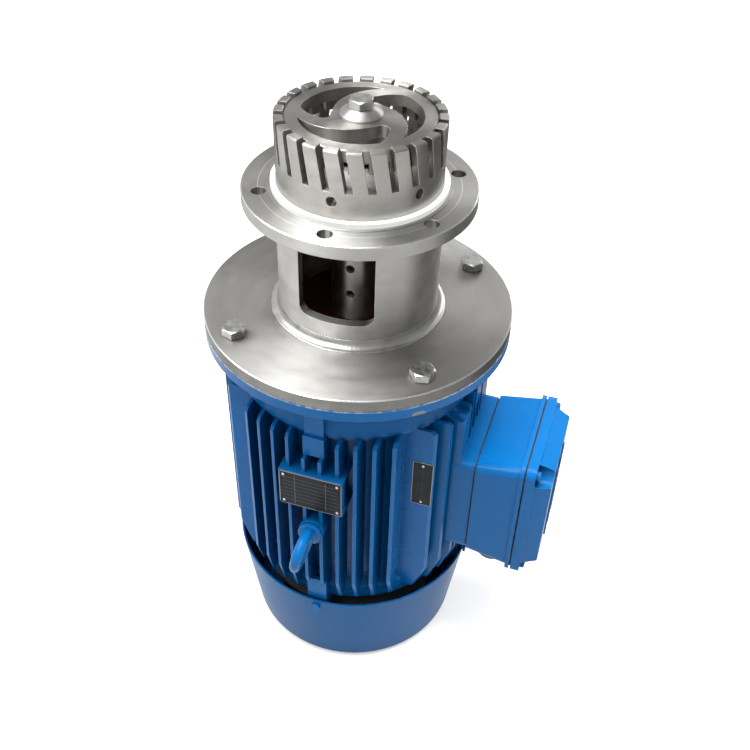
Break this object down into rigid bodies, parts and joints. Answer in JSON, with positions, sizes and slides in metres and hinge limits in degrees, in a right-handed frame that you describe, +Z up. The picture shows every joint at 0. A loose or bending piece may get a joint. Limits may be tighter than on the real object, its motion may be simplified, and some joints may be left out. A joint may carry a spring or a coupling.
{
  "type": "high shear mixer",
  "caption": "High shear mixer head: slotted rotor in a slanted-slot stator ring on a drilled vessel flange, windowed lantern, driven by an upright flange motor",
  "frame": {"origin": "centre of the fan cowl's flat end, on the shaft axis", "axes": "+Z runs up the shaft from the fan cowl to the shearing head; -Y is the front with the lantern window, nameplate and lifting eye; +X is the terminal box side"},
  "size_m": [0.433, 0.395, 0.7465],
  "materials": {
    "blue_paint": "gloss blue paint",
    "stainless": "machined stainless",
    "plated_steel": "zinc plated",
    "bearing_steel": "ground",
    "cage_brass": "pressed cage",
    "core_steel": "laminated",
    "copper": "copper",
    "fan_plastic": "moulded",
    "black_rubber": "moulded rubber",
    "white_gasket": "white fluoropolymer",
    "seal_ceramic": "lapped ceramic",
    "seal_carbon": "lapped carbon",
    "dark_plate": "dark anodised"
  },
  "bodies": {
    "housing": {"fan_cowl": "blue_paint", "fan_end_shield": "blue_paint", "motor_frame": "blue_paint", "drive_end_shield": "blue_paint", "terminal_box": "blue_paint", "terminal_lid": "blue_paint", "lantern_base_plate": "stainless", "lantern_tube": "stainless", "lantern_weld_beads": "stainless", "vessel_flange": "stainless", "stator_ring": "stainless", "stator_grub_screws": "stainless", "foot_bolts": "stainless", "foot_nuts": "stainless", "cowl_screws": "plated_steel", "drive_end_screws": "plated_steel", "fan_end_screws": "plated_steel", "lid_screws": "plated_steel", "lifting_eyebolt": "plated_steel", "preload_washer": "plated_steel", "nameplate_rivets": "plated_steel", "side_plate_rivets": "plated_steel", "drive_end_bearing_outer_ring": "bearing_steel", "fan_end_bearing_outer_ring": "bearing_steel", "stator_core": "core_steel", "stator_windings": "copper", "terminal_studs": "copper", "terminal_links": "copper", "entry_plugs": "fan_plastic", "terminal_board": "fan_plastic", "shaft_oil_seal": "black_rubber", "box_gasket": "black_rubber", "lid_gasket": "black_rubber", "seal_seat_oring": "black_rubber", "stator_gasket": "white_gasket", "seal_seat": "seal_ceramic", "nameplate": "dark_plate", "side_plate": "dark_plate"},
    "rotating_assembly": {"motor_shaft": "bearing_steel", "rotor_core": "core_steel", "cooling_fan": "fan_plastic", "fan_circlip": "plated_steel", "coupling_key": "plated_steel", "drive_end_bearing_inner_ring": "bearing_steel", "fan_end_bearing_inner_ring": "bearing_steel", "mixer_shaft": "stainless", "sleeve_set_screws": "plated_steel", "shear_rotor": "stainless", "rotor_key": "stainless", "rotor_cap_washer": "stainless", "rotor_bolt": "stainless", "seal_rotating_ring": "seal_carbon", "seal_bellows": "black_rubber", "seal_retainer": "stainless", "seal_spring": "stainless"},
    "drive_end_balls": {"drive_end_bearing_balls": "bearing_steel", "drive_end_bearing_cage": "cage_brass"},
    "fan_end_balls": {"fan_end_bearing_balls": "bearing_steel", "fan_end_bearing_cage": "cage_brass"}
  },
  "joints": [
    {"name": "rotor_spin", "type": "hinge", "parent": "housing", "child": "rotating_assembly", "pos_m": [0, 0, 0.5], "axis": [0, 0, 1], "continuous": true},
    {"name": "drive_end_ball_orbit", "type": "hinge", "parent": "housing", "child": "drive_end_balls", "pos_m": [0, 0, 0.4525], "axis": [0, 0, 1], "continuous": true},
    {"name": "fan_end_ball_orbit", "type": "hinge", "parent": "housing", "child": "fan_end_balls", "pos_m": [0, 0, 0.1365], "axis": [0, 0, 1], "continuous": true}
  ],
  "couplings": [
    {"joint": "drive_end_ball_orbit", "follows": "rotor_spin", "ratio": 0.38},
    {"joint": "fan_end_ball_orbit", "follows": "rotor_spin", "ratio": 0.38}
  ]
}
